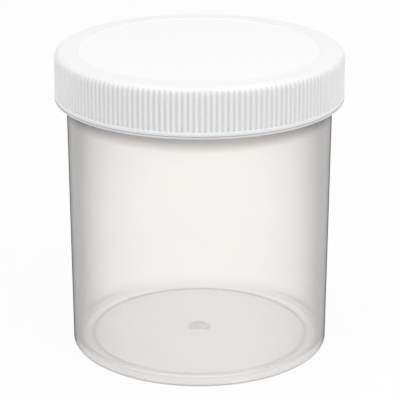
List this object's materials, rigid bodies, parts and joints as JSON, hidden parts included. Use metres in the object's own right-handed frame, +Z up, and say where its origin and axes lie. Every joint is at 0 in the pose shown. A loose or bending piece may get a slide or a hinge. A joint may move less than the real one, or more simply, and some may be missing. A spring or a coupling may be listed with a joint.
{
  "type": "wide-mouth screw-cap jar",
  "caption": "Straight-sided translucent plastic jar with a wide threaded mouth, closed by a white ribbed screw cap over a thin soft liner.",
  "frame": {"origin": "centre of the jar's foot, on the surface that the jar stands on", "axes": "+Z up along the jar's axis, +X and +Y across it; the picture looks along +Y"},
  "size_m": [0.0926, 0.0926, 0.0989],
  "materials": {
    "natural_polypropylene": "translucent, unpigmented, smooth moulded",
    "soft_polyethylene": "soft, matt, slightly milky",
    "white_plastic": "opaque white, satin moulded"
  },
  "bodies": {
    "jar": {"jar": "natural_polypropylene"},
    "liner": {"liner": "soft_polyethylene"},
    "cap": {"cap": "white_plastic"}
  },
  "joints": [
    {"name": "cap_rise", "type": "slide", "parent": "jar", "child": "liner", "axis": [0, 0, 1], "range_m": [0, 0.01525]},
    {"name": "cap_turn", "type": "hinge", "parent": "liner", "child": "cap", "pos_m": [0, 0, 0.0911], "axis": [0, 0, 1], "range_deg": [0, 1080]}
  ],
  "couplings": [
    {"joint": "cap_rise", "follows": "cap_turn", "m_per_rad": 0.00080851}
  ]
}
